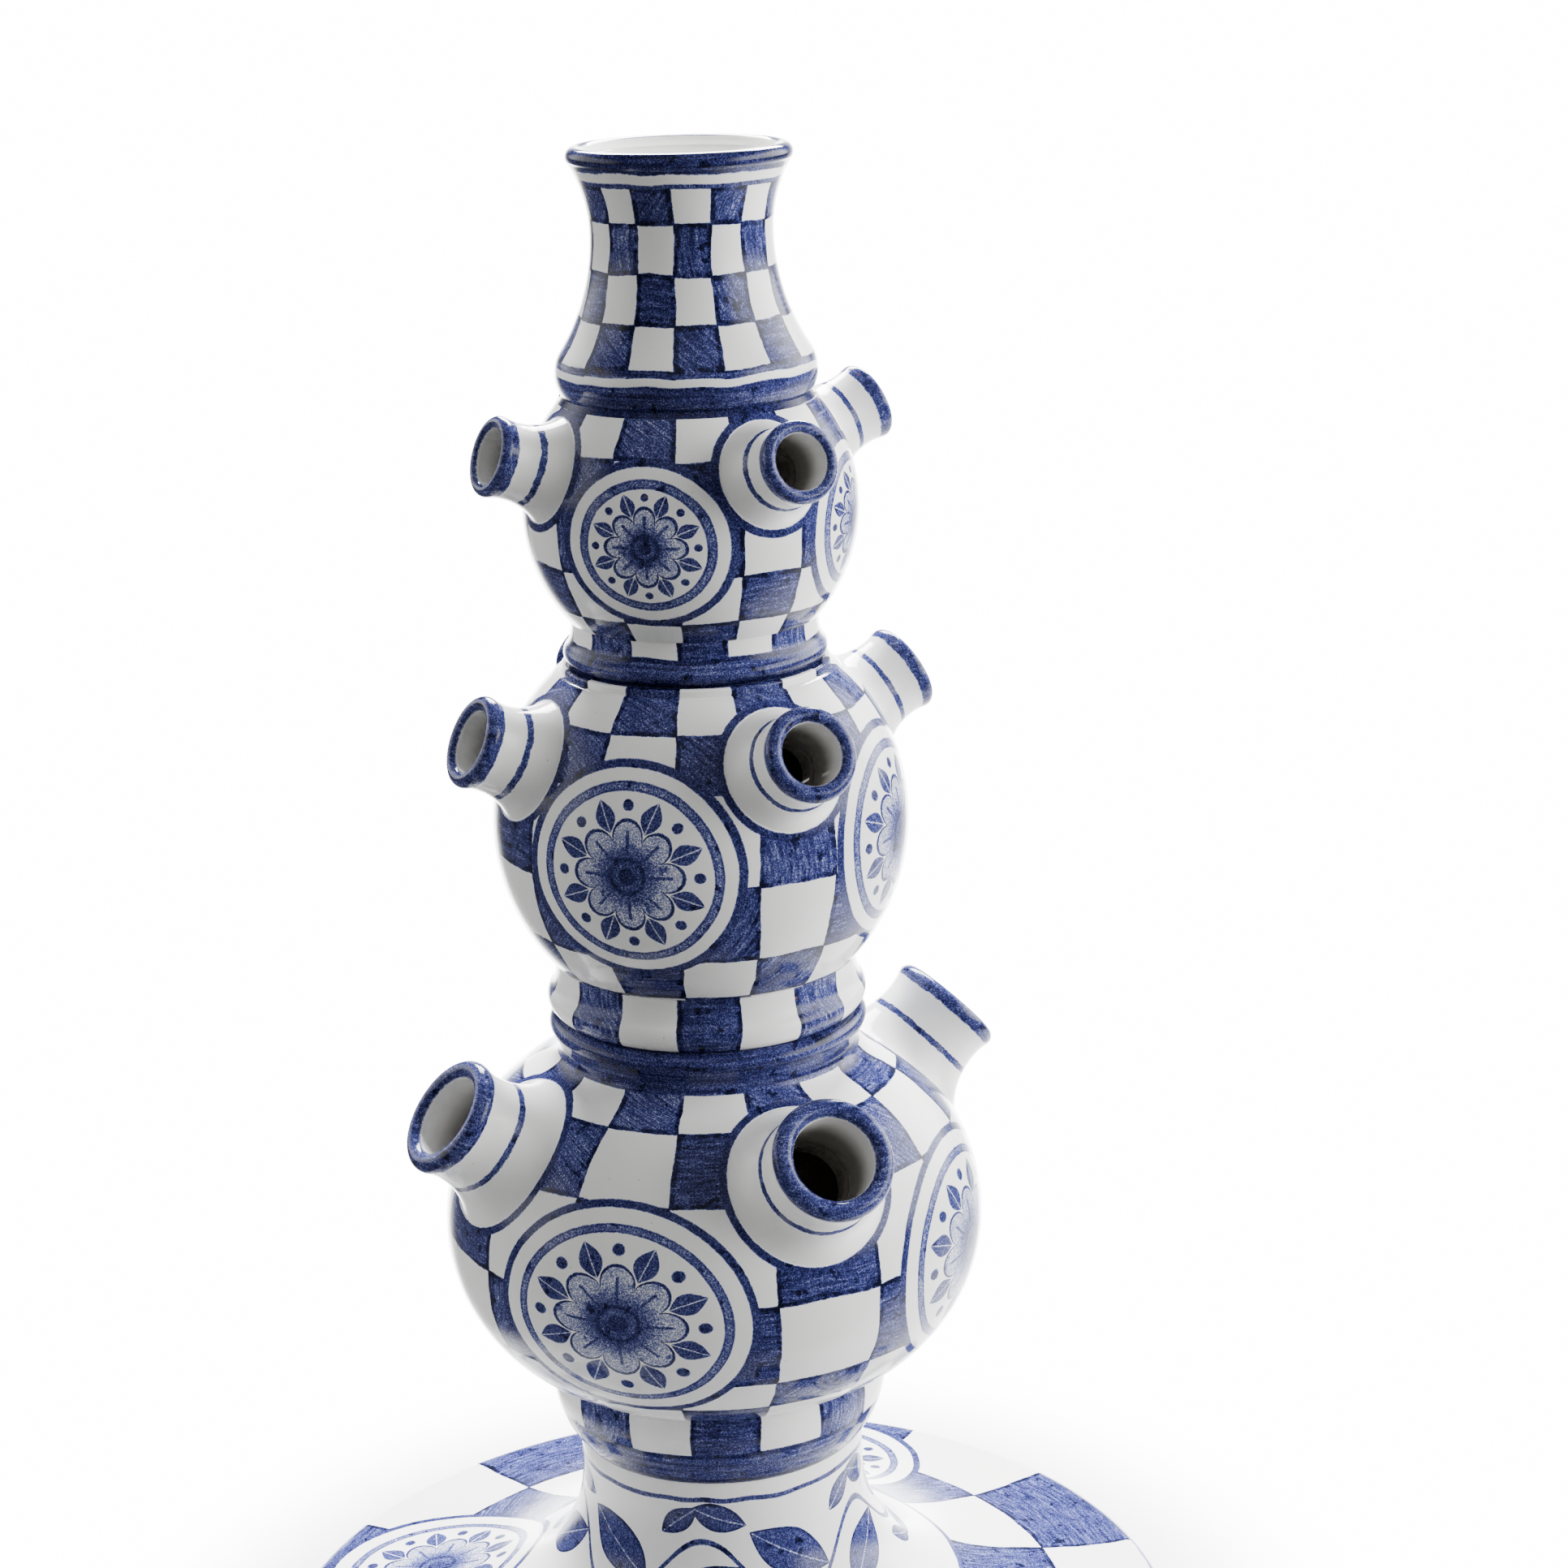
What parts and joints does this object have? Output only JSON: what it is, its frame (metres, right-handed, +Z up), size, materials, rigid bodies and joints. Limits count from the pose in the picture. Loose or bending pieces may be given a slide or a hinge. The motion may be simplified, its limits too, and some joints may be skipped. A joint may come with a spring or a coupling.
{
  "type": "tulipiere",
  "caption": "Stacking blue-and-white pottery flower tower: flared base, globe tiers ringed with slanted stem spouts, and a vase neck on top; the tiers lift off.",
  "frame": {"origin": "centre of the base on the table", "axes": "+Z up the tower; the front spouts point about along -Y and the right spouts about along +X, each tier turned by a few degrees"},
  "size_m": [0.3485, 0.3486, 0.5799],
  "materials": {
    "painted_glaze": "glossy white glaze hand-painted with blue checks, rings and leaves",
    "white_glaze": "glossy white glaze with blue bands"
  },
  "bodies": {
    "base": {"base": "painted_glaze"},
    "lower_tier": {"lower_foot": "painted_glaze", "lower_globe": "painted_glaze", "lower_spout_front": "white_glaze", "lower_spout_right": "white_glaze", "lower_spout_back": "white_glaze", "lower_spout_left": "white_glaze"},
    "middle_tier": {"middle_foot": "painted_glaze", "middle_globe": "painted_glaze", "middle_spout_front": "white_glaze", "middle_spout_right": "white_glaze", "middle_spout_back": "white_glaze", "middle_spout_left": "white_glaze"},
    "upper_tier": {"upper_foot": "painted_glaze", "upper_globe": "painted_glaze", "upper_spout_front": "white_glaze", "upper_spout_right": "white_glaze", "upper_spout_back": "white_glaze", "upper_spout_left": "white_glaze", "upper_neck": "painted_glaze"}
  },
  "joints": [
    {"name": "lower_lift", "type": "slide", "parent": "base", "child": "lower_tier", "axis": [0, 0, 1], "range_m": [0, 0.15]},
    {"name": "middle_lift", "type": "slide", "parent": "lower_tier", "child": "middle_tier", "axis": [0, 0, 1], "range_m": [0, 0.15]},
    {"name": "upper_lift", "type": "slide", "parent": "middle_tier", "child": "upper_tier", "axis": [0, 0, 1], "range_m": [0, 0.15]}
  ]
}
